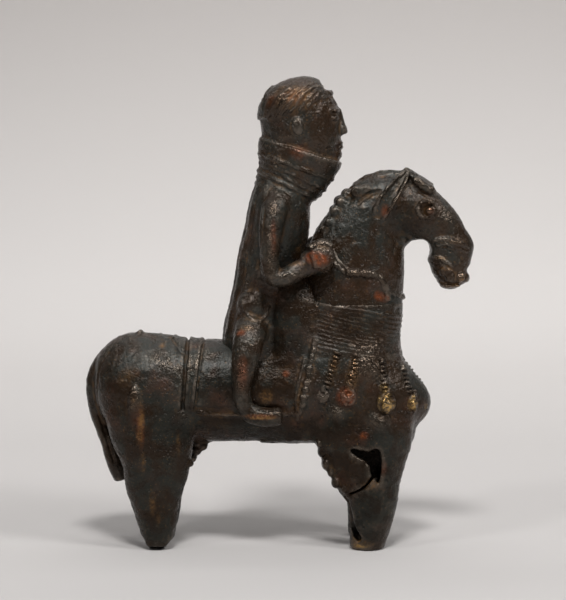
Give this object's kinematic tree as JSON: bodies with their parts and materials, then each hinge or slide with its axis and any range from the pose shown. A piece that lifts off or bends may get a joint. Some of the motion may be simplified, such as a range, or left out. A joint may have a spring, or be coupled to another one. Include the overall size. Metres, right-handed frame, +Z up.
{
  "type": "equestrian statuette",
  "caption": "Hollow-cast bronze statuette of a rider on a standing horse, with ribbed collar, bead strings and bells, on its own four feet.",
  "frame": {"origin": "on the ground, under the middle of the figure's bounding box", "axes": "+Z up, +X the way the horse and the rider face, +Y the horse's left side"},
  "size_m": [0.155, 0.0502, 0.188],
  "materials": {
    "bronze": "dark brown patina, lightly pitted and rubbed bright on high points"
  },
  "bodies": {
    "root": {"horse_and_rider": "bronze"}
  },
  "joints": []
}
